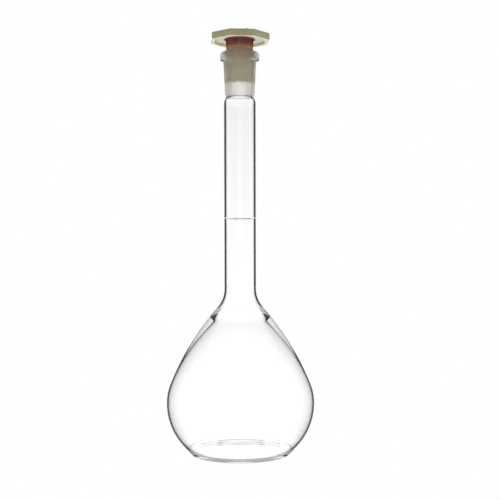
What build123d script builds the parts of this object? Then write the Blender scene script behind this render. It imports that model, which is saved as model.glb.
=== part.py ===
from build123d import *
import os
from math import acos, cos, degrees, radians, sin, sqrt, tan

# Volumetric flask, nominal 250 ml, with a tapered socket and a plastic stopper.
# Millimetres. +Z is up along the axis of revolution; the origin is the centre of the base.

# Bulb, outside
bulb_radius = 40.4
equator_height = 27.4
lower_arc_radius = 33.4
lower_arc_end = -42.0
waist_arc_radius = 28.3
waist_arc_sweep = 21.3
shoulder_arc_radius = 138.0
shoulder_slope = 41.5
heel_radius = 0.5
contact_ring_inner_radius = 24.2
push_up_height = 1.8

# Bulb, inside
bulb_wall = 0.95
inner_lower_arc_end = -50.0
inner_floor_height = 3.4
inner_heel_radius = 2.5
inner_shoulder_radius = 97.0
inner_shoulder_slope = 45.6

# Neck
neck_outer_radius = 8.75
neck_wall = 1.15
flare_arc_radius = 15.0
neck_top_height = 195.0
neck_top_outer_radius = 7.45
neck_top_outer_arc = 8.5
neck_top_inner_arc = 3.5

# Ground socket, taper 1:10 on the diameter, large end 14.5 wide
taper_per_height = 0.05
socket_large_radius = 7.25
socket_large_height = 219.0
socket_small_height = 196.0
socket_wall = 1.95
socket_foot_height = 1.9
bead_radius = 10.7
bead_bottom_height = 214.5
rim_height = 219.75
bead_top_round = 1.9
bead_bottom_round = 1.6
mouth_round = 0.5

# Graduation ring
graduation_height = 128.5
graduation_width = 0.45
graduation_relief = 0.08

# Stopper plug
taper_clearance = 0.02
plug_bottom_height = 202.2
plug_bottom_round = 0.6
plug_wall = 1.3
plug_floor = 1.5
plug_flare_radius = 1.1
spigot_bore_radius = 6.0
spigot_bore_depth = 5.7
head_seat_gap = 0.05

# Stopper head
head_bottom_height = 225.5
head_thickness = 3.7
head_across_flats = 31.6
head_turn = 5.6
head_edge_bevel = 0.3
recess_radius = 13.9
recess_depth = 1.2
recess_lip_round = 0.9
spigot_clearance = 0.05
spigot_wall = 1.35
spigot_length = 4.5
gate_radius = 0.6
gate_height = 0.5
gate_centre = (3.9, -14.4)


def on_circle(centre, radius, angle):
    """Point of the radius-height plane, at an angle in degrees above the outward direction."""
    return (
        centre[0] + radius * cos(radians(angle)),
        centre[1] + radius * sin(radians(angle)),
    )


def arc_about(centre, radius, start, stop):
    """Arc of the radius-height plane between two angles in degrees."""
    middle = (start + stop) / 2
    return ThreePointArc(*[on_circle(centre, radius, a) for a in (start, middle, stop)])


def lathe(*edges):
    """Solid of revolution about Z of the closed outline drawn by the edges."""
    return revolve(Plane.XZ * make_face(edges), axis=Axis.Z)


# Centres of the bulb's outer arcs, which join tangentially from the cone over the heel to the weld.
lower_centre = (bulb_radius - lower_arc_radius, equator_height)
waist_centre = (bulb_radius - waist_arc_radius, equator_height)
shoulder_centre = on_circle(waist_centre, waist_arc_radius - shoulder_arc_radius, waist_arc_sweep)
weld_outer = on_circle(shoulder_centre, shoulder_arc_radius, shoulder_slope)
weld_height = weld_outer[1]

# The flare is an arc that leaves the neck vertically and reaches the shoulder's slope.
flare_centre_radius = neck_outer_radius + flare_arc_radius
flare_foot_radius = flare_centre_radius - flare_arc_radius * cos(radians(shoulder_slope))
flare_foot_height = weld_height + (weld_outer[0] - flare_foot_radius) / tan(radians(shoulder_slope))
flare_centre = (
    flare_centre_radius,
    flare_foot_height + flare_arc_radius * sin(radians(shoulder_slope)),
)
neck_inner_radius = neck_outer_radius - neck_wall
inner_flare_foot = on_circle(flare_centre, flare_arc_radius + neck_wall, 180 + shoulder_slope)
weld_inner = (
    inner_flare_foot[0] + (inner_flare_foot[1] - weld_height) * tan(radians(shoulder_slope)),
    weld_height,
)


def socket_bore_radius(height):
    """Radius of the ground cone at a height."""
    return socket_large_radius - (socket_large_height - height) * taper_per_height


socket_small_radius = socket_bore_radius(socket_small_height)


def make_bulb():
    """Pear-shaped bulb with a short cone over its heel, a pushed-up base and a thick weld on top."""
    cone_top = on_circle(lower_centre, lower_arc_radius, lower_arc_end)
    cone_foot_radius = cone_top[0] - cone_top[1] * tan(radians(-lower_arc_end))
    contact_radius = cone_foot_radius - heel_radius * tan(radians((90 + lower_arc_end) / 2))
    heel_centre = (contact_radius, heel_radius)
    push_up_arc = (contact_ring_inner_radius**2 + push_up_height**2) / (2 * push_up_height)
    push_up_centre = (0, push_up_height - push_up_arc)
    push_up_edge = (contact_ring_inner_radius, 0)
    half_push_up = contact_ring_inner_radius / 2
    push_up_middle = (half_push_up, push_up_centre[1] + sqrt(push_up_arc**2 - half_push_up**2))
    outside = lathe(
        ThreePointArc((0, push_up_height), push_up_middle, push_up_edge),
        Line(push_up_edge, (contact_radius, 0)),
        arc_about(heel_centre, heel_radius, -90, lower_arc_end),
        Line(on_circle(heel_centre, heel_radius, lower_arc_end), cone_top),
        arc_about(lower_centre, lower_arc_radius, lower_arc_end, 0),
        arc_about(waist_centre, waist_arc_radius, 0, waist_arc_sweep),
        arc_about(shoulder_centre, shoulder_arc_radius, waist_arc_sweep, shoulder_slope),
        Line(weld_outer, (0, weld_height)),
        Line((0, weld_height), (0, push_up_height)),
    )

    inner_lower_radius = lower_arc_radius - bulb_wall
    inner_waist_radius = waist_arc_radius - bulb_wall
    inner_shoulder_centre = on_circle(
        waist_centre, inner_waist_radius - inner_shoulder_radius, waist_arc_sweep
    )
    bead_foot = on_circle(inner_shoulder_centre, inner_shoulder_radius, inner_shoulder_slope)
    bead_direction = (
        -sin(radians(inner_shoulder_slope)),
        cos(radians(inner_shoulder_slope)),
    )
    floor_edge = on_circle(lower_centre, inner_lower_radius, inner_lower_arc_end)
    floor_rise = inner_floor_height - floor_edge[1]
    floor_arc = (floor_edge[0] ** 2 + floor_rise**2) / (2 * floor_rise)
    half_floor = floor_edge[0] / 2
    floor_middle = (half_floor, inner_floor_height - floor_arc + sqrt(floor_arc**2 - half_floor**2))
    cavity_outline = make_face(
        [
            ThreePointArc((0, inner_floor_height), floor_middle, floor_edge),
            arc_about(lower_centre, inner_lower_radius, inner_lower_arc_end, 0),
            arc_about(waist_centre, inner_waist_radius, 0, waist_arc_sweep),
            arc_about(
                inner_shoulder_centre, inner_shoulder_radius, waist_arc_sweep, inner_shoulder_slope
            ),
            TangentArc(bead_foot, weld_inner, tangent=bead_direction),
            Line(weld_inner, (0, weld_height)),
            Line((0, weld_height), (0, inner_floor_height)),
        ]
    )
    heel_corner = cavity_outline.vertices().sort_by_distance(floor_edge)[0]
    cavity_outline = fillet(heel_corner, inner_heel_radius)
    cavity = revolve(Plane.XZ * cavity_outline, axis=Axis.Z)
    return outside - cavity


def make_neck_tube():
    """Neck tube: flared foot, straight stem and rounded-in top where the socket is welded on."""
    outer_run = neck_top_outer_radius - (neck_outer_radius - neck_top_outer_arc)
    outer_angle = degrees(acos(outer_run / neck_top_outer_arc))
    outer_centre = (
        neck_outer_radius - neck_top_outer_arc,
        neck_top_height - neck_top_outer_arc * sin(radians(outer_angle)),
    )
    inner_run = socket_small_radius - (neck_inner_radius - neck_top_inner_arc)
    inner_angle = degrees(acos(inner_run / neck_top_inner_arc))
    inner_centre = (
        neck_inner_radius - neck_top_inner_arc,
        neck_top_height - neck_top_inner_arc * sin(radians(inner_angle)),
    )
    inner_flare_radius = flare_arc_radius + neck_wall
    return lathe(
        Line(weld_outer, (flare_foot_radius, flare_foot_height)),
        arc_about(flare_centre, flare_arc_radius, 180 + shoulder_slope, 180),
        Line((neck_outer_radius, flare_centre[1]), (neck_outer_radius, outer_centre[1])),
        arc_about(outer_centre, neck_top_outer_arc, 0, outer_angle),
        Line((neck_top_outer_radius, neck_top_height), (socket_small_radius, neck_top_height)),
        arc_about(inner_centre, neck_top_inner_arc, inner_angle, 0),
        Line((neck_inner_radius, inner_centre[1]), (neck_inner_radius, flare_centre[1])),
        arc_about(flare_centre, inner_flare_radius, 180, 180 + shoulder_slope),
        Line(inner_flare_foot, weld_inner),
        Line(weld_inner, weld_outer),
    )


def make_ground_socket():
    """Conical socket with a ground bore, welded on the neck, with a rolled bead at its mouth."""
    cone_foot_height = neck_top_height + socket_foot_height
    cone_foot = (socket_bore_radius(cone_foot_height) + socket_wall, cone_foot_height)
    down_the_cone = (-taper_per_height, -1)
    bead_foot_radius = socket_bore_radius(bead_bottom_height) + socket_wall
    outline = make_face(
        [
            Line((socket_small_radius, neck_top_height), (neck_top_outer_radius, neck_top_height)),
            TangentArc(cone_foot, (neck_top_outer_radius, neck_top_height), tangent=down_the_cone),
            Line(cone_foot, (bead_foot_radius, bead_bottom_height)),
            Line((bead_foot_radius, bead_bottom_height), (bead_radius, bead_bottom_height)),
            Line((bead_radius, bead_bottom_height), (bead_radius, rim_height)),
            Line((bead_radius, rim_height), (socket_large_radius, rim_height)),
            Line((socket_large_radius, rim_height), (socket_large_radius, socket_large_height)),
            Line(
                (socket_large_radius, socket_large_height),
                (socket_small_radius, socket_small_height),
            ),
            Line(
                (socket_small_radius, socket_small_height), (socket_small_radius, neck_top_height)
            ),
        ]
    )
    roundings = (
        ((bead_radius, rim_height), bead_top_round),
        ((bead_radius, bead_bottom_height), bead_bottom_round),
        ((socket_large_radius, rim_height), mouth_round),
    )
    for corner, rounding in roundings:
        vertex = outline.vertices().sort_by_distance(corner)[0]
        outline = fillet(vertex, rounding)
    return revolve(Plane.XZ * outline, axis=Axis.Z)


def make_graduation_ring():
    """Fired-on line round the neck at the 250 ml mark."""
    band = Cylinder(neck_outer_radius + graduation_relief, graduation_width)
    bore = Cylinder(neck_outer_radius, graduation_width)
    return Pos(0, 0, graduation_height) * (band - bore)


def make_stopper_plug():
    """Hollow plug with the socket's taper, a closed bottom and an open, slightly flared top."""
    top_height = head_bottom_height + recess_depth - head_seat_gap
    flare_height = top_height - plug_flare_radius
    shank_radius = socket_bore_radius(flare_height) - taper_clearance
    bottom_radius = socket_bore_radius(plug_bottom_height) - taper_clearance
    flare_arc_centre = (shank_radius + plug_flare_radius, flare_height)
    hollow_floor = plug_bottom_height + plug_floor
    bore_foot = top_height - spigot_bore_depth
    hollow_floor_radius = socket_bore_radius(hollow_floor) - taper_clearance - plug_wall
    outline = make_face(
        [
            Line((0, plug_bottom_height), (bottom_radius, plug_bottom_height)),
            Line((bottom_radius, plug_bottom_height), (shank_radius, flare_height)),
            arc_about(flare_arc_centre, plug_flare_radius, 180, 90),
            Line((flare_arc_centre[0], top_height), (spigot_bore_radius, top_height)),
            Line((spigot_bore_radius, top_height), (spigot_bore_radius, bore_foot)),
            Line((spigot_bore_radius, bore_foot), (hollow_floor_radius, hollow_floor)),
            Line((hollow_floor_radius, hollow_floor), (0, hollow_floor)),
            Line((0, hollow_floor), (0, plug_bottom_height)),
        ]
    )
    bottom_corner = outline.vertices().sort_by_distance((bottom_radius, plug_bottom_height))[0]
    outline = fillet(bottom_corner, plug_bottom_round)
    return revolve(Plane.XZ * outline, axis=Axis.Z)


def make_stopper_head():
    """Octagonal finger grip with a round recess below and a tubular spigot into the plug."""
    half_side = 180 / 8
    circumradius = head_across_flats / 2 / cos(radians(half_side))
    octagon = RegularPolygon(circumradius, 8, rotation=half_side + head_turn)
    plate = extrude(octagon, head_thickness)
    flat_edges = plate.edges().filter_by(Plane.XY)
    plate = chamfer(flat_edges, head_edge_bevel)
    plate = Pos(0, 0, head_bottom_height) * plate
    plate -= extrude(Pos(0, 0, head_bottom_height) * Circle(recess_radius), recess_depth)
    recess_lip = plate.edges().filter_by(GeomType.CIRCLE).sort_by(Axis.Z)[0]
    plate = fillet(recess_lip, recess_lip_round)
    ceiling_height = head_bottom_height + recess_depth
    spigot_radius = spigot_bore_radius - spigot_clearance
    spigot_section = Circle(spigot_radius) - Circle(spigot_radius - spigot_wall)
    spigot = extrude(Pos(0, 0, ceiling_height - spigot_length) * spigot_section, spigot_length)
    gate_base = Pos(*gate_centre, head_bottom_height + head_thickness)
    gate = extrude(gate_base * Circle(gate_radius), gate_height)
    return plate + spigot + gate


makers = {
    "bulb": make_bulb,
    "neck_tube": make_neck_tube,
    "ground_socket": make_ground_socket,
    "graduation_ring": make_graduation_ring,
    "stopper_plug": make_stopper_plug,
    "stopper_head": make_stopper_head,
}

os.makedirs("parts", exist_ok=True)
for name, make in makers.items():
    piece = make()
    piece.label = name
    export_step(piece, f"parts/{name}.step")
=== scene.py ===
from math import atan2, ceil, cos, degrees, hypot, pi, radians, sin, sqrt, tan

import bpy
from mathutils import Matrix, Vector


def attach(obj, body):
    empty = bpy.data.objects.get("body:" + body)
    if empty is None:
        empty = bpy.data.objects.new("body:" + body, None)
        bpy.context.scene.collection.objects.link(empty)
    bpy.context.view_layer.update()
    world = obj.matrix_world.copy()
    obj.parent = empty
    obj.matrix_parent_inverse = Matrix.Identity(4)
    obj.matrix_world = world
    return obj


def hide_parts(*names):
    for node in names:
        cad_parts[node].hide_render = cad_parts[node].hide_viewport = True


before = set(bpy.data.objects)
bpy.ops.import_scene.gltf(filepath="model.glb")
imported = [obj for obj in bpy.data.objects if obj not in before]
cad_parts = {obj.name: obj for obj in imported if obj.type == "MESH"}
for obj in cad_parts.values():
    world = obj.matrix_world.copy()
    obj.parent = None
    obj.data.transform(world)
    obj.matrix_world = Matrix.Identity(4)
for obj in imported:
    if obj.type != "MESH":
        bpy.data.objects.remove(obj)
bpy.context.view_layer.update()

MM = 0.001
GLASS_IOR = 1.473
SEGMENTS = 192
SHARP_ANGLE = 35

# Tolerances in millimetres: a point on the axis, a repeated point, and a flat band of an outline.
ON_AXIS = 1e-6
REPEATED = 1e-4
LEVEL = 1e-3

# Dimensions in millimetres, the same as the CAD model's.

# Bulb
bulb_radius = 40.4
equator_height = 27.4
lower_arc_radius = 33.4
lower_arc_end = -42.0
waist_arc_radius = 28.3
waist_arc_sweep = 21.3
shoulder_arc_radius = 138.0
shoulder_slope = 41.5
heel_radius = 0.5
contact_ring_inner_radius = 24.2
push_up_height = 1.8

# Bulb, inside
bulb_wall = 0.95
inner_lower_arc_end = -50.0
inner_floor_height = 3.4
inner_heel_radius = 2.5
inner_shoulder_radius = 97.0
inner_shoulder_slope = 45.6

# Neck
neck_outer_radius = 8.75
neck_wall = 1.15
flare_arc_radius = 15.0
neck_top_height = 195.0
neck_top_outer_radius = 7.45
neck_top_outer_arc = 8.5
neck_top_inner_arc = 3.5

# Ground socket and its bead
taper_per_height = 0.05
socket_large_radius = 7.25
socket_large_height = 219.0
socket_small_height = 196.0
socket_wall = 1.95
socket_foot_height = 1.9
bead_radius = 10.7
bead_bottom_height = 214.5
rim_height = 219.75
bead_top_round = 1.9
bead_bottom_round = 1.6
mouth_round = 0.5

# Top of the ground finish in the bore, which is a look and no shape
ground_top_height = 218.9

# Graduation line
graduation_height = 128.5
graduation_width = 0.45
graduation_relief = 0.08

# Stopper plug
taper_clearance = 0.02
plug_bottom_height = 202.2
plug_bottom_round = 0.6
plug_wall = 1.3
plug_floor = 1.5
plug_flare_radius = 1.1
spigot_bore_radius = 6.0
spigot_bore_depth = 5.7
head_seat_gap = 0.05

# Stopper head, octagonal
octagon_sides = 8
head_bottom_height = 225.5
head_thickness = 3.7
head_across_flats = 31.6
head_turn = 5.6
head_edge_bevel = 0.3
head_corner_round = 0.5
recess_radius = 13.9
recess_depth = 1.2
recess_lip_round = 0.9
spigot_clearance = 0.05
spigot_wall = 1.35
spigot_length = 4.5
gate_radius = 0.6
gate_height = 0.5
gate_centre = (3.9, -14.4)


# ---------------------------------------------------------------- outlines

def on_circle(centre, radius, angle):
    """Point of the radius-height plane, at an angle in degrees above the outward direction."""
    return (centre[0] + radius * cos(radians(angle)), centre[1] + radius * sin(radians(angle)))


def arc(centre, radius, start, stop, chord=0.7):
    """Points along an arc, both ends included, spaced by a chord in mm and at most 6 degrees."""
    step = min(6.0, degrees(chord / radius))
    count = max(2, ceil(abs(stop - start) / step))
    return [on_circle(centre, radius, start + (stop - start) * i / count) for i in range(count + 1)]


def run(start, stop, chord=2.0):
    """Points along a straight run, both ends included."""
    count = max(1, ceil(hypot(stop[0] - start[0], stop[1] - start[1]) / chord))
    return [
        (start[0] + (stop[0] - start[0]) * i / count, start[1] + (stop[1] - start[1]) * i / count)
        for i in range(count + 1)
    ]


def arc_from(start, direction, stop, chord=0.3):
    """Arc that leaves start in a direction and ends at stop."""
    chord_vector = Vector(stop) - Vector(start)
    normal = Vector((-direction[1], direction[0])).normalized()
    radius = chord_vector.length_squared / (2 * chord_vector.dot(normal))
    centre = Vector(start) + normal * radius
    first = degrees(atan2(start[1] - centre.y, start[0] - centre.x))
    last = degrees(atan2(stop[1] - centre.y, stop[0] - centre.x))
    if last - first > 180:
        last -= 360
    if first - last > 180:
        last += 360
    return arc(centre, abs(radius), first, last, chord)


def rounded(outline, corner, radius):
    """The outline with one of its corners replaced by a tangent arc, worked out on its two sides."""
    gaps = [hypot(point[0] - corner[0], point[1] - corner[1]) for point in outline]
    at = gaps.index(min(gaps))
    here = Vector(outline[at])
    before = (Vector(outline[at - 1]) - here).normalized()
    after = (Vector(outline[at + 1]) - here).normalized()
    half = before.angle(after) / 2
    reach = radius / tan(half)
    first, last = at, at
    while (Vector(outline[first]) - here).length < reach:
        first -= 1
    while (Vector(outline[last]) - here).length < reach:
        last += 1
    enter = here + before * reach
    leave = here + after * reach
    bend = arc_from(tuple(enter), tuple(-before), tuple(leave))
    return outline[: first + 1] + bend + outline[last:]


def merged(points):
    """The outline without repeated points."""
    kept = [points[0]]
    for point in points[1:]:
        if hypot(point[0] - kept[-1][0], point[1] - kept[-1][1]) > REPEATED:
            kept.append(point)
    return kept


def socket_bore_radius(height):
    """Radius of the ground cone at a height."""
    return socket_large_radius - (socket_large_height - height) * taper_per_height


# Centres and joints of the flask's arcs, as in the CAD model.
lower_centre = (bulb_radius - lower_arc_radius, equator_height)
waist_centre = (bulb_radius - waist_arc_radius, equator_height)
shoulder_centre = on_circle(waist_centre, waist_arc_radius - shoulder_arc_radius, waist_arc_sweep)
weld_outer = on_circle(shoulder_centre, shoulder_arc_radius, shoulder_slope)
weld_height = weld_outer[1]
slope = radians(shoulder_slope)
flare_foot_radius = neck_outer_radius + flare_arc_radius * (1 - cos(slope))
flare_foot_height = weld_height + (weld_outer[0] - flare_foot_radius) / tan(slope)
flare_centre = (neck_outer_radius + flare_arc_radius, flare_foot_height + flare_arc_radius * sin(slope))
neck_inner_radius = neck_outer_radius - neck_wall
inner_flare_foot = on_circle(flare_centre, flare_arc_radius + neck_wall, 180 + shoulder_slope)
weld_inner = (inner_flare_foot[0] + (inner_flare_foot[1] - weld_height) * tan(slope), weld_height)
socket_small_radius = socket_bore_radius(socket_small_height)


def bulb_outline():
    """Closed outline of the bulb's wall, from the axis under the base round to the axis on its floor."""
    cone_top = on_circle(lower_centre, lower_arc_radius, lower_arc_end)
    cone_slope = radians(-lower_arc_end)
    half_turn = (pi / 2 - cone_slope) / 2
    cone_foot_radius = cone_top[0] - cone_top[1] * tan(cone_slope)
    contact_radius = cone_foot_radius - heel_radius * tan(half_turn)
    push_up_arc = (contact_ring_inner_radius**2 + push_up_height**2) / (2 * push_up_height)
    push_up_centre = (0, push_up_height - push_up_arc)
    push_up_angle = degrees(atan2(-push_up_centre[1], contact_ring_inner_radius))
    outside = arc(push_up_centre, push_up_arc, 90, push_up_angle, chord=1.2)
    outside += arc((contact_radius, heel_radius), heel_radius, -90, lower_arc_end, chord=0.15)
    outside += run(outside[-1], cone_top, chord=0.6)
    outside += arc(lower_centre, lower_arc_radius, lower_arc_end, 0)
    outside += arc(waist_centre, waist_arc_radius, 0, waist_arc_sweep)
    outside += arc(shoulder_centre, shoulder_arc_radius, waist_arc_sweep, shoulder_slope)

    inner_lower_radius = lower_arc_radius - bulb_wall
    inner_waist_radius = waist_arc_radius - bulb_wall
    inner_centre = on_circle(waist_centre, inner_waist_radius - inner_shoulder_radius, waist_arc_sweep)
    bead_foot = on_circle(inner_centre, inner_shoulder_radius, inner_shoulder_slope)
    bead_direction = (-sin(radians(inner_shoulder_slope)), cos(radians(inner_shoulder_slope)))
    floor_edge = on_circle(lower_centre, inner_lower_radius, inner_lower_arc_end)
    floor_rise = inner_floor_height - floor_edge[1]
    floor_arc = (floor_edge[0] ** 2 + floor_rise**2) / (2 * floor_rise)
    floor_centre = (0, inner_floor_height - floor_arc)
    floor_angle = degrees(atan2(floor_edge[1] - floor_centre[1], floor_edge[0]))
    inside = arc_from(bead_foot, bead_direction, weld_inner)[::-1]
    inside += arc(inner_centre, inner_shoulder_radius, inner_shoulder_slope, waist_arc_sweep)
    inside += arc(waist_centre, inner_waist_radius, waist_arc_sweep, 0)
    inside += arc(lower_centre, inner_lower_radius, 0, inner_lower_arc_end, chord=0.3)
    inside += arc(floor_centre, floor_arc, floor_angle, 90, chord=0.6)
    return merged(outside) + rounded(merged(inside), floor_edge, inner_heel_radius)


def top_round(tube_radius, arc_radius, end_radius):
    """Centre and last angle of the arc that rounds a wall of the neck in to a radius at its top."""
    centre_radius = tube_radius - arc_radius
    reach = end_radius - centre_radius
    drop = sqrt(arc_radius**2 - reach**2)
    return (centre_radius, neck_top_height - drop), degrees(atan2(drop, reach))


def neck_outline():
    """Closed outline of the neck tube's wall, up its outside and down its inside."""
    outer_centre, outer_angle = top_round(neck_outer_radius, neck_top_outer_arc, neck_top_outer_radius)
    inner_centre, inner_angle = top_round(neck_inner_radius, neck_top_inner_arc, socket_small_radius)
    points = run(weld_outer, (flare_foot_radius, flare_foot_height), chord=0.5)
    points += arc(flare_centre, flare_arc_radius, 180 + shoulder_slope, 180, chord=0.4)
    points += run((neck_outer_radius, flare_centre[1]), (neck_outer_radius, outer_centre[1]))
    points += arc(outer_centre, neck_top_outer_arc, 0, outer_angle, chord=0.3)
    points += arc(inner_centre, neck_top_inner_arc, inner_angle, 0, chord=0.2)
    points += run((neck_inner_radius, inner_centre[1]), (neck_inner_radius, flare_centre[1]))
    points += arc(flare_centre, flare_arc_radius + neck_wall, 180, 180 + shoulder_slope, chord=0.4)
    points += run(inner_flare_foot, weld_inner, chord=0.5)
    return merged(points)


def socket_outline():
    """Closed outline of the socket's wall, up its outside, over the bead and down its ground bore."""
    cone_foot_height = neck_top_height + socket_foot_height
    cone_foot = (socket_bore_radius(cone_foot_height) + socket_wall, cone_foot_height)
    down_the_cone = (-taper_per_height, -1)
    neck_edge = (neck_top_outer_radius, neck_top_height)
    bead_foot = (socket_bore_radius(bead_bottom_height) + socket_wall, bead_bottom_height)
    bead_low = (bead_radius, bead_bottom_height)
    bead_high = (bead_radius, rim_height)
    mouth = (socket_large_radius, rim_height)
    cone_top = (socket_large_radius, socket_large_height)
    ground_top = (socket_bore_radius(ground_top_height), ground_top_height)
    bore_foot = (socket_small_radius, socket_small_height)
    points = arc_from(cone_foot, down_the_cone, neck_edge, chord=0.15)[::-1]
    points += run(cone_foot, bead_foot)
    points += run(bead_foot, bead_low, chord=0.3)
    points += run(bead_low, bead_high, chord=0.3)
    points += run(bead_high, mouth, chord=0.3)
    points += run(mouth, cone_top, chord=0.1)
    points += run(cone_top, ground_top, chord=1.0)
    points += run(ground_top, bore_foot, chord=1.0)
    points += run(bore_foot, (socket_small_radius, neck_top_height), chord=0.5)
    points = rounded(merged(points), bead_low, bead_bottom_round)
    points = rounded(merged(points), bead_high, bead_top_round)
    points = rounded(merged(points), mouth, mouth_round)
    return merged(points)


def ring_outline():
    """Closed outline of the fired-on line."""
    low = graduation_height - graduation_width / 2
    high = graduation_height + graduation_width / 2
    proud = neck_outer_radius + graduation_relief
    return [(neck_outer_radius, low), (proud, low), (proud, high), (neck_outer_radius, high)]


def plug_outline():
    """Outline of the plug's wall, from the axis under its floor round to the axis inside."""
    top_height = head_bottom_height + recess_depth - head_seat_gap
    flare_height = top_height - plug_flare_radius
    shank_radius = socket_bore_radius(flare_height) - taper_clearance
    bottom = (socket_bore_radius(plug_bottom_height) - taper_clearance, plug_bottom_height)
    flare_centre_radius = shank_radius + plug_flare_radius
    hollow_floor = plug_bottom_height + plug_floor
    bore_foot = top_height - spigot_bore_depth
    hollow_floor_radius = socket_bore_radius(hollow_floor) - taper_clearance - plug_wall
    points = run((0, plug_bottom_height), bottom, chord=0.8)
    points += run(bottom, (shank_radius, flare_height), chord=0.8)
    points += arc((flare_centre_radius, flare_height), plug_flare_radius, 180, 90, chord=0.1)
    points += run((flare_centre_radius, top_height), (spigot_bore_radius, top_height), chord=0.5)
    points += run((spigot_bore_radius, top_height), (spigot_bore_radius, bore_foot))
    points += run((spigot_bore_radius, bore_foot), (hollow_floor_radius, hollow_floor))
    points += run((hollow_floor_radius, hollow_floor), (0, hollow_floor), chord=0.8)
    return rounded(merged(points), bottom, plug_bottom_round)


# ---------------------------------------------------------------- meshes

def new_piece(name, vertices, faces, face_materials, materials):
    """Mesh object from vertices in mm, smooth except over its sharp edges."""
    mesh = bpy.data.meshes.new(name)
    mesh.from_pydata([[c * MM for c in v] for v in vertices], [], faces)
    for material in materials:
        mesh.materials.append(material)
    mesh.polygons.foreach_set("material_index", face_materials)
    mesh.shade_smooth()
    mesh.set_sharp_from_angle(angle=radians(SHARP_ANGLE))
    mesh.update()
    piece = bpy.data.objects.new(name, mesh)
    bpy.context.scene.collection.objects.link(piece)
    return piece


def lathe(name, outline, materials, material_of=None, angles=None, radius_at=None):
    """Closed mesh of revolution of an outline that may start and end on the axis.

    material_of gives a band's material number from its two outline points. angles are in degrees, and
    radius_at gives the radius of an outline point at an angle, for a form that isn't round.
    """
    angles = angles or [360 * i / SEGMENTS for i in range(SEGMENTS)]
    vertices, rings, faces, numbers = [], [], [], []
    for point in outline:
        first = len(vertices)
        if point[0] < ON_AXIS:
            rings.append([first] * len(angles))
            vertices.append((0, 0, point[1]))
            continue
        rings.append(list(range(first, first + len(angles))))
        for angle in angles:
            radius = radius_at(point, angle) if radius_at else point[0]
            vertices.append((radius * cos(radians(angle)), radius * sin(radians(angle)), point[1]))
    bands = len(outline) - 1 if outline[0][0] < ON_AXIS else len(outline)
    for band in range(bands):
        after = (band + 1) % len(outline)
        low, high = rings[band], rings[after]
        number = material_of(outline[band], outline[after]) if material_of else 0
        for i in range(len(angles)):
            j = (i + 1) % len(angles)
            corners = [low[i], low[j], high[j], high[i]]
            faces.append([v for k, v in enumerate(corners) if v not in corners[:k]])
            numbers.append(number)
    return new_piece(name, vertices, faces, numbers, materials)


def add_glass_piece(name, outline, materials, node, material_of=None):
    """A lathe piece that stands for one CAD node and rides on the flask."""
    piece = lathe(name, outline, materials, material_of)
    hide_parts(node)
    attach(piece, "flask")


# ---------------------------------------------------------------- materials

class Nodes:
    """Node tree of a material or world, with short calls to add and join nodes."""

    def __init__(self, owner):
        owner.use_nodes = True
        self.tree = owner.node_tree

    def add(self, kind, inputs=None, **settings):
        node = self.tree.nodes.new(kind)
        for key, value in settings.items():
            setattr(node, key, value)
        for key, value in (inputs or {}).items():
            self.feed(node.inputs[key], value)
        return node

    def feed(self, socket, value):
        if isinstance(value, bpy.types.NodeSocket):
            self.tree.links.new(value, socket)
        else:
            socket.default_value = value

    def math(self, operation, *values):
        node = self.add("ShaderNodeMath", operation=operation)
        for socket, value in zip(node.inputs, values):
            self.feed(socket, value)
        return node.outputs[0]

    def product(self, first, *others):
        for other in others:
            first = self.math("MULTIPLY", first, other)
        return first

    def blend(self, factor, first, second):
        """Number blend: first where the factor is 0 and second where it is 1."""
        kept = self.math("MULTIPLY", first, self.math("SUBTRACT", 1.0, factor))
        return self.math("ADD", kept, self.math("MULTIPLY", second, factor))

    def mix(self, factor, first, second):
        """Colour mix: first where the factor is 0 and second where it is 1."""
        node = self.add("ShaderNodeMixRGB", {"Fac": factor, "Color1": first, "Color2": second})
        return node.outputs["Color"]

    def ramp(self, factor, *stops):
        node = self.add("ShaderNodeValToRGB", {"Fac": factor})
        node.color_ramp.interpolation = "EASE"
        elements = node.color_ramp.elements
        while len(elements) < len(stops):
            elements.new(0.5)
        for element, (position, colour) in zip(elements, stops):
            element.position = position
            element.color = (*colour, 1)
        return node.outputs["Color"]

    def remap(self, value, low, high, to_low, to_high):
        node = self.add(
            "ShaderNodeMapRange",
            {"Value": value, "From Min": low, "From Max": high, "To Min": to_low, "To Max": to_high},
        )
        return node.outputs["Result"]

    def noise(self, vector, scale, detail):
        node = self.add("ShaderNodeTexNoise", {"Vector": vector, "Scale": scale, "Detail": detail})
        return node.outputs["Fac"]

    def stretched(self, vector, scales):
        node = self.add("ShaderNodeMapping", {"Vector": vector, "Scale": scales})
        return node.outputs["Vector"]

    def bump(self, height, strength, distance):
        node = self.add(
            "ShaderNodeBump", {"Height": height, "Strength": strength, "Distance": distance}
        )
        return node.outputs["Normal"]


def srgb(red, green, blue):
    """Scene-linear colour of an sRGB colour given from 0 to 255."""
    parts = [part / 255 for part in (red, green, blue)]
    return tuple(c / 12.92 if c <= 0.04 else ((c + 0.055) / 1.055) ** 2.4 for c in parts)


def new_material(name):
    """A material with its nodes, its Principled shader and its object coordinates."""
    made = bpy.data.materials.new(name)
    nodes = Nodes(made)
    shader = nodes.tree.nodes["Principled BSDF"]
    place = nodes.add("ShaderNodeTexCoord").outputs["Object"]
    return made, nodes, shader, place


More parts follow.
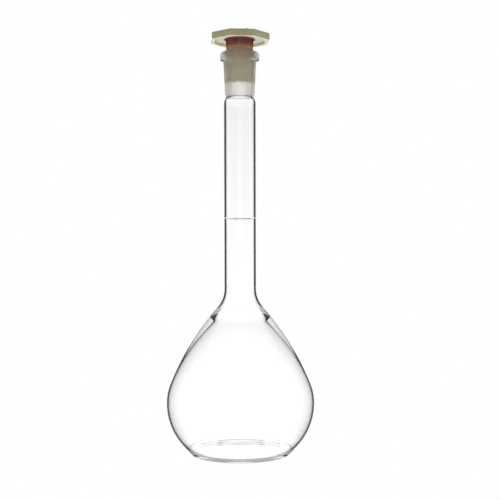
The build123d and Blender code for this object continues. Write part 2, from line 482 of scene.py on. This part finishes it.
def clear_glass(name):
    """Blown borosilicate: clear, with faint drawing lines along the axis."""
    made, nodes, shader, place = new_material(name)
    shader.inputs["Base Color"].default_value = (0.990, 0.990, 0.998, 1)
    shader.inputs["Transmission Weight"].default_value = 1
    shader.inputs["IOR"].default_value = GLASS_IOR
    lines = nodes.noise(nodes.stretched(place, (260, 260, 14)), 1.0, 2.0)
    nodes.feed(shader.inputs["Normal"], nodes.bump(lines, 0.01, 0.00005))
    film = nodes.noise(place, 90.0, 3.0)
    nodes.feed(shader.inputs["Roughness"], nodes.remap(film, 0.3, 0.8, 0.0, 0.012))
    return made


def ground_glass(name):
    """Ground joint surface: a fine matt grain that spreads the light from behind it."""
    made, nodes, shader, place = new_material(name)
    shader.inputs["Base Color"].default_value = (0.96, 0.955, 0.945, 1)
    shader.inputs["Transmission Weight"].default_value = 1
    shader.inputs["IOR"].default_value = GLASS_IOR
    grain = nodes.noise(place, 9000.0, 2.0)
    rings = nodes.noise(nodes.stretched(place, (60, 60, 2600)), 1.0, 2.0)
    nodes.feed(shader.inputs["Roughness"], nodes.remap(rings, 0.3, 0.7, 0.34, 0.42))
    nodes.feed(shader.inputs["Normal"], nodes.bump(grain, 0.3, 0.00003))
    spread = nodes.add("ShaderNodeBsdfTranslucent", {"Color": (0.92, 0.91, 0.89, 1)})
    facing = nodes.add("ShaderNodeLayerWeight", {"Blend": 0.5}).outputs["Facing"]
    share = nodes.remap(facing, 0.10, 0.35, 0.15, 0.80)
    mixed = nodes.add("ShaderNodeMixShader", {0: share, 1: shader.outputs[0], 2: spread.outputs[0]})
    frost = nodes.add("ShaderNodeBsdfDiffuse", {"Color": (0.76, 0.75, 0.71, 1)})
    edge_share = nodes.remap(facing, 0.25, 0.65, 0.0, 0.80)
    mixed = nodes.add("ShaderNodeMixShader", {0: edge_share, 1: mixed.outputs[0], 2: frost.outputs[0]})
    nodes.feed(nodes.tree.nodes["Material Output"].inputs["Surface"], mixed.outputs[0])
    return made


def hidden_weld(name):
    """The faces inside a weld, where the glass of two pieces runs together and nothing shows."""
    made = bpy.data.materials.new(name)
    made.use_nodes = True
    shader = made.node_tree.nodes["Principled BSDF"]
    shader.inputs["Alpha"].default_value = 0
    return made


def line_enamel(name):
    """Fired-on stain of the graduation line, thin and slightly uneven."""
    made, nodes, shader, place = new_material(name)
    patches = nodes.noise(nodes.stretched(place, (400, 400, 2500)), 1.0, 3.0)
    colour = nodes.ramp(patches, (0.3, srgb(190, 187, 183)), (0.7, srgb(216, 213, 210)))
    nodes.feed(shader.inputs["Base Color"], colour)
    nodes.feed(shader.inputs["Roughness"], nodes.remap(patches, 0.2, 0.8, 0.45, 0.65))
    return made


def head_plastic(name):
    """Moulded ivory plastic of the grip, satin, with faint flow marks, and painted light that makes it
    paler under the rim and in the recess, palest on the recess wall.
    """
    made, nodes, shader, place = new_material(name)
    flow = nodes.noise(nodes.stretched(place, (70, 70, 160)), 1.0, 3.0)
    side = nodes.ramp(flow, (0.3, srgb(109, 104, 77)), (0.7, srgb(116, 111, 84)))
    # Painted light: a paler, less yellow copy of the plastic for the face under the rim and the recess,
    # standing for light from the bright table below.
    painted_light_underside = nodes.ramp(flow, (0.3, srgb(122, 118, 100)), (0.7, srgb(129, 125, 107)))
    # Painted light: a still paler copy for the recess wall, lifting the shade that falls inside the
    # recess.
    painted_light_recess_wall = nodes.ramp(flow, (0.3, srgb(178, 174, 154)), (0.7, srgb(185, 181, 161)))
    parts = nodes.add("ShaderNodeSeparateXYZ", {"Vector": place}).outputs
    across = nodes.math("POWER", parts["X"], 2)
    depth = nodes.math("POWER", parts["Y"], 2)
    radius = nodes.math("SQRT", nodes.math("ADD", across, depth))
    face_margin = 0.05
    ceiling = head_bottom_height + recess_depth
    # Masks of the painted light: the recess with its lip, the face under the rim, and the band of the
    # recess wall.
    in_recess = nodes.product(
        nodes.math("LESS_THAN", radius, (recess_radius + recess_lip_round) * MM),
        nodes.math("LESS_THAN", parts["Z"], (ceiling + face_margin) * MM),
    )
    on_rim = nodes.math("LESS_THAN", parts["Z"], (head_bottom_height + face_margin) * MM)
    near_wall = nodes.math("COMPARE", radius, recess_radius * MM, 2 * face_margin * MM)
    # The paler painted-light copy goes under the rim and into the recess, and the palest copy goes on
    # the recess wall.
    colour = nodes.mix(nodes.math("MAXIMUM", on_rim, in_recess), side, painted_light_underside)
    colour = nodes.mix(nodes.product(near_wall, in_recess), colour, painted_light_recess_wall)
    nodes.feed(shader.inputs["Base Color"], colour)
    shader.inputs["Sheen Weight"].default_value = 0.9
    shader.inputs["Sheen Roughness"].default_value = 0.3
    grain = nodes.noise(place, 3500.0, 3.0)
    nodes.feed(shader.inputs["Roughness"], nodes.remap(grain, 0.3, 0.7, 0.34, 0.46))
    nodes.feed(shader.inputs["Normal"], nodes.bump(grain, 0.15, 0.00005))
    return made


def plug_plastic(name):
    """Moulded ivory plug with painted light and shade: ivory where the ground glass lights it, warm
    brown where it leaves the socket, and red-brown under the grip for the grip's shadow and the backlit
    glow of the shank.
    """
    made, nodes, shader, place = new_material(name)
    height = nodes.add("ShaderNodeSeparateXYZ", {"Vector": place}).outputs["Z"]
    # Painted light and shade by height: pale ivory at the foot, lit through the ground glass, running to
    # dark red-brown at the top, in the grip's shadow and glowing with light through the translucent
    # shank.
    painted_light_foot, painted_shade_top = 202.0, 227.0
    along = nodes.remap(height, painted_light_foot * MM, painted_shade_top * MM, 0.0, 1.0)
    colour = nodes.ramp(
        along,
        (0.0, srgb(225, 222, 212)),
        (0.03, srgb(178, 170, 142)),
        (0.50, srgb(174, 162, 132)),
        (0.70, srgb(140, 118, 94)),
        (0.78, srgb(130, 96, 76)),
        (0.86, srgb(88, 46, 27)),
        (0.96, srgb(74, 26, 8)),
    )
    mottle = nodes.noise(nodes.stretched(place, (220, 220, 90)), 1.0, 3.0)
    shade = nodes.add(
        "ShaderNodeHueSaturation",
        {"Color": colour, "Value": nodes.remap(mottle, 0.3, 0.7, 0.95, 1.05)},
    )
    nodes.feed(shader.inputs["Base Color"], shade.outputs["Color"])
    grain = nodes.noise(place, 3500.0, 3.0)
    nodes.feed(shader.inputs["Roughness"], nodes.remap(grain, 0.3, 0.7, 0.30, 0.42))
    nodes.feed(shader.inputs["Normal"], nodes.bump(grain, 0.15, 0.00004))
    return made


# ---------------------------------------------------------------- the flask

glass = clear_glass("clear_glass")
ground = ground_glass("ground_glass")
weld = hidden_weld("hidden_weld")


def is_level(low, high, height):
    """True for a band of an outline that lies flat at a height."""
    return abs(low[1] - height) < LEVEL and abs(high[1] - height) < LEVEL


def bulb_material(low, high):
    """1, the hidden weld, on the face against the neck."""
    return 1 if is_level(low, high, weld_height) else 0


def neck_material(low, high):
    """1, the hidden weld, on the faces against the bulb and the socket."""
    return 1 if is_level(low, high, weld_height) or is_level(low, high, neck_top_height) else 0


def socket_material(low, high):
    """1, the hidden weld, on the face against the neck, and 2, ground glass, in the bore."""
    if is_level(low, high, neck_top_height):
        return 1
    bore_margin = 0.05
    middle_height = (low[1] + high[1]) / 2
    middle_radius = (low[0] + high[0]) / 2
    in_bore = middle_radius < socket_bore_radius(middle_height) + bore_margin
    return 2 if in_bore and socket_small_height < middle_height < ground_top_height else 0


add_glass_piece("bulb_glass", bulb_outline(), [glass, weld], "bulb", bulb_material)
add_glass_piece("neck_glass", neck_outline(), [glass, weld], "neck_tube", neck_material)
add_glass_piece(
    "socket_with_bead", socket_outline(), [glass, weld, ground], "ground_socket",
    socket_material,
)
add_glass_piece(
    "graduation_line", ring_outline(), [line_enamel("line_enamel")], "graduation_ring",
)

# ---------------------------------------------------------------- the stopper

plug = lathe("plug_body", plug_outline(), [plug_plastic("plug_plastic")])
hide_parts("stopper_plug")
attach(plug, "plug")

head_material = head_plastic("head_plastic")
half_side = 180 / octagon_sides


def half_flat(apothem):
    """Half the length of the straight part of one side of the octagon, between its rounded corners."""
    return (apothem - head_corner_round) * tan(radians(half_side))


def octagon_radius(apothem, angle):
    """Radius of the rounded octagon of an apothem at an angle in degrees."""
    off_flat = (angle - head_turn + half_side) % (2 * half_side) - half_side
    if apothem * abs(tan(radians(off_flat))) <= half_flat(apothem):
        return apothem / cos(radians(off_flat))
    off_corner = radians(half_side - abs(off_flat))
    arc_centre = (apothem - head_corner_round) / cos(radians(half_side))
    aside = arc_centre * sin(off_corner)
    return arc_centre * cos(off_corner) + sqrt(head_corner_round**2 - aside**2)


def octagon_angles():
    """Angles in degrees round the octagon, close together at its corners."""
    flat_steps, corner_steps = 16, 6
    apothem = head_across_flats / 2
    flat = degrees(atan2(half_flat(apothem), apothem))
    corner = 2 * (half_side - flat)
    angles = []
    for side in range(octagon_sides):
        middle = head_turn + 2 * half_side * side
        angles += [middle - flat + 2 * flat * i / flat_steps for i in range(flat_steps + 1)]
        angles += [middle + flat + corner * i / corner_steps for i in range(1, corner_steps)]
    return angles


def head_outline():
    """Outline of the grip, from the axis on top round to the axis under it; 1 marks octagon points."""
    top = head_bottom_height + head_thickness
    ceiling = head_bottom_height + recess_depth
    apothem = head_across_flats / 2
    edge = apothem - head_edge_bevel
    spigot_radius = spigot_bore_radius - spigot_clearance
    spigot_inner_radius = spigot_radius - spigot_wall
    spigot_end = ceiling - spigot_length
    upper_bevel = top - head_edge_bevel
    lower_bevel = head_bottom_height + head_edge_bevel
    lip = recess_radius + recess_lip_round
    fine, finest = 0.15, 0.03
    outer = [(0, top), (edge - fine, top)]
    outer += arc((edge, upper_bevel), head_edge_bevel, 90, 0, finest)
    outer += [(apothem, upper_bevel - fine), (apothem, lower_bevel + fine)]
    outer += arc((edge, lower_bevel), head_edge_bevel, 0, -90, finest)
    outer += [(edge - fine, head_bottom_height)]
    inner = [(lip + fine, head_bottom_height)]
    inner += arc((lip, head_bottom_height + recess_lip_round), recess_lip_round, -90, -180, finest)
    inner += [(recess_radius, ceiling), (recess_radius - fine, ceiling)]
    inner += [(spigot_radius + fine, ceiling), (spigot_radius, ceiling)]
    inner += [(spigot_radius, spigot_end), (spigot_inner_radius, spigot_end)]
    inner += [(spigot_inner_radius, ceiling), (0, ceiling)]
    return [(r, z, 1) for r, z in merged(outer)] + [(r, z, 0) for r, z in merged(inner)]


def head_radius(point, angle):
    """Radius of an outline point of the grip at an angle: octagonal outside, round inside."""
    return octagon_radius(point[0], angle) if point[2] else point[0]


head = lathe(
    "stopper_grip", head_outline(), [head_material], angles=octagon_angles(), radius_at=head_radius
)
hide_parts("stopper_head")
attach(head, "head")


def gate_nub():
    """Stub left where the moulding gate was snapped off, a little uneven on top."""
    top = head_bottom_height + head_thickness
    # Shares of the nub's radius and height at the turns of its outline.
    turns = [(1.0, 0.0), (0.92, 0.55), (0.7, 0.9)]
    outline = [(0, top)]
    outline += [(gate_radius * across, top + gate_height * up) for across, up in turns]
    outline += [(0, top + gate_height)]
    nub = lathe("gate_nub", outline[::-1], [head_material])
    for vertex in nub.data.vertices:
        vertex.co.x += gate_centre[0] * MM
        vertex.co.y += gate_centre[1] * MM
    return nub


nub = gate_nub()
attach(nub, "head")

# ---------------------------------------------------------------- floor, light and camera

def studio_floor():
    """Pale level floor that only the camera sees, so that it casts nothing into the glass."""
    half = 6.0
    mesh = bpy.data.meshes.new("studio_floor")
    corners = [(-half, -half, 0), (half, -half, 0), (half, half, 0), (-half, half, 0)]
    mesh.from_pydata(corners, [], [(0, 1, 2, 3)])
    floor = bpy.data.objects.new("studio_floor", mesh)
    bpy.context.scene.collection.objects.link(floor)
    material = bpy.data.materials.new("studio_floor")
    nodes = Nodes(material)
    glow = nodes.add("ShaderNodeEmission", {"Color": (1, 1, 1, 1), "Strength": 1.0})
    output = nodes.tree.nodes["Material Output"]
    nodes.feed(output.inputs["Surface"], glow.outputs["Emission"])
    mesh.materials.append(material)
    floor.visible_transmission = False
    floor.visible_glossy = False
    floor.visible_diffuse = False
    floor.visible_shadow = False


def angle_off_panel(nodes, parts):
    """Angle round the axis from the middle of the nearest of four upright panels."""
    across = nodes.math("ABSOLUTE", parts["X"])
    depth = nodes.math("ABSOLUTE", parts["Y"])
    nearer = nodes.math("MINIMUM", across, depth)
    farther = nodes.math("MAXIMUM", across, depth)
    return nodes.math("ARCTAN2", nearer, farther)


def light_through(nodes, rise):
    """Straight through the glass: a bright sweep of paper, brighter low down and dimmer far below."""
    return nodes.product(
        nodes.remap(rise, -0.13, 0.155, 1.20, 0.955), nodes.remap(rise, -0.45, -0.65, 1.0, 0.80)
    )


def light_turned(nodes, rise, off_panel, ends):
    """Turned inside a wall of the glass: upright panels with dark gaps between, and the ends."""
    high_panel_edge = nodes.remap(rise, 0.20, 0.40, radians(20), radians(22))
    past_edge = nodes.math("SUBTRACT", off_panel, high_panel_edge)
    high_panel = nodes.product(
        nodes.remap(past_edge, radians(4), radians(-1), 0.0, 1.0),
        nodes.remap(rise, 0.60, 0.44, 0.0, 1.0),
        nodes.remap(rise, 0.16, 0.20, 0.0, 1.0),
    )
    slim_panel = nodes.product(
        nodes.remap(off_panel, radians(13), radians(9), 0.0, 1.0),
        nodes.remap(rise, 0.30, 0.20, 0.0, 1.0),
        nodes.remap(rise, -0.12, -0.10, 0.0, 1.0),
    )
    panel = nodes.math("MAXIMUM", high_panel, slim_panel)
    dark_gap = 0.02
    return nodes.math("ADD", nodes.math("MAXIMUM", panel, ends), dark_gap)


def light_on_front(nodes, rise, off_panel, ends):
    """Mirrored off a front surface: a low bright panel on each side, and the ends."""
    low_panel = nodes.product(
        nodes.remap(off_panel, radians(16), radians(10), 0.0, 1.0),
        nodes.remap(rise, -0.12, -0.08, 0.6, 1.7),
        nodes.remap(rise, 0.14, 0.02, 0.0, 1.0),
    )
    dim_room = 0.04
    return nodes.math("ADD", nodes.math("MAXIMUM", low_panel, ends), dim_room)


def light_scattered(nodes, rise):
    """Scattered by plastic or ground glass: a soft box above, a bright table and a dim room."""
    table = nodes.remap(rise, -0.25, -0.40, 0.55, 3.9)
    return nodes.math("ADD", table, nodes.remap(rise, 0.60, 0.75, 0.0, 2.4))


def light_mirrored(nodes, path, turned, front):
    """Mirrored once, in front or inside; more than once, an even grey; in the hollow, a soft white."""
    wall_grey = 0.36
    hollow_white = 1.1
    on_front = nodes.math("LESS_THAN", path["Transmission Depth"], 0.5)
    in_hollow = nodes.math("GREATER_THAN", path["Transmission Depth"], 2.5)
    again = nodes.math("GREATER_THAN", path["Glossy Depth"], 1.5)
    once = nodes.blend(on_front, turned, front)
    return nodes.blend(in_hollow, nodes.blend(again, once, wall_grey), hollow_white)


def soft_studio():
    """World whose brightness goes by what the ray met, and by its direction, alike on all four sides."""
    world = bpy.data.worlds.new("soft_studio")
    bpy.context.scene.world = world
    nodes = Nodes(world)
    path = nodes.add("ShaderNodeLightPath").outputs
    direction = nodes.add("ShaderNodeTexCoord").outputs["Generated"]
    parts = nodes.add("ShaderNodeSeparateXYZ", {"Vector": direction}).outputs
    rise = parts["Z"]
    off_panel = angle_off_panel(nodes, parts)

    # The ends of the room: light from below and from above.
    below = nodes.remap(rise, -0.50, -0.65, 0.0, 0.55)
    above = nodes.remap(rise, 0.60, 0.75, 0.0, 0.6)
    ends = nodes.math("ADD", below, above)

    turned = light_turned(nodes, rise, off_panel, ends)
    front = light_on_front(nodes, rise, off_panel, ends)
    mirrored = light_mirrored(nodes, path, turned, front)
    was_scattered = nodes.math("MINIMUM", path["Diffuse Depth"], 1.0)
    was_mirrored = nodes.math("MINIMUM", path["Glossy Depth"], 1.0)
    seen = nodes.blend(was_scattered, light_through(nodes, rise), light_scattered(nodes, rise))
    seen = nodes.blend(was_mirrored, seen, mirrored)
    seen = nodes.blend(path["Is Camera Ray"], seen, 1.0)
    background = nodes.tree.nodes["Background"]
    background.inputs["Color"].default_value = (1, 1, 1, 1)
    nodes.feed(background.inputs["Strength"], seen)
    world.cycles.sampling_method = "NONE"


def place_camera():
    """Level camera near half the flask's height, rolled by a fraction of a degree."""
    camera_roll = 0.15
    data = bpy.data.cameras.new("camera")
    data.sensor_width = 36
    data.lens = 66.24
    data.shift_y = -0.002
    data.clip_end = 50
    camera = bpy.data.objects.new("camera", data)
    camera.location = (0.0054, -0.506, 0.1116)
    camera.rotation_euler = (pi / 2, radians(camera_roll), 0)
    bpy.context.scene.collection.objects.link(camera)
    bpy.context.scene.camera = camera


studio_floor()
soft_studio()
place_camera()

# Light runs round many times inside the thick heel of the glass, so the bounce limits are high.
scene = bpy.context.scene
scene.view_settings.view_transform = "Standard"
scene.cycles.use_denoising = True
scene.cycles.max_bounces = 128
scene.cycles.transmission_bounces = 128
scene.cycles.glossy_bounces = 40
scene.cycles.transparent_max_bounces = 32
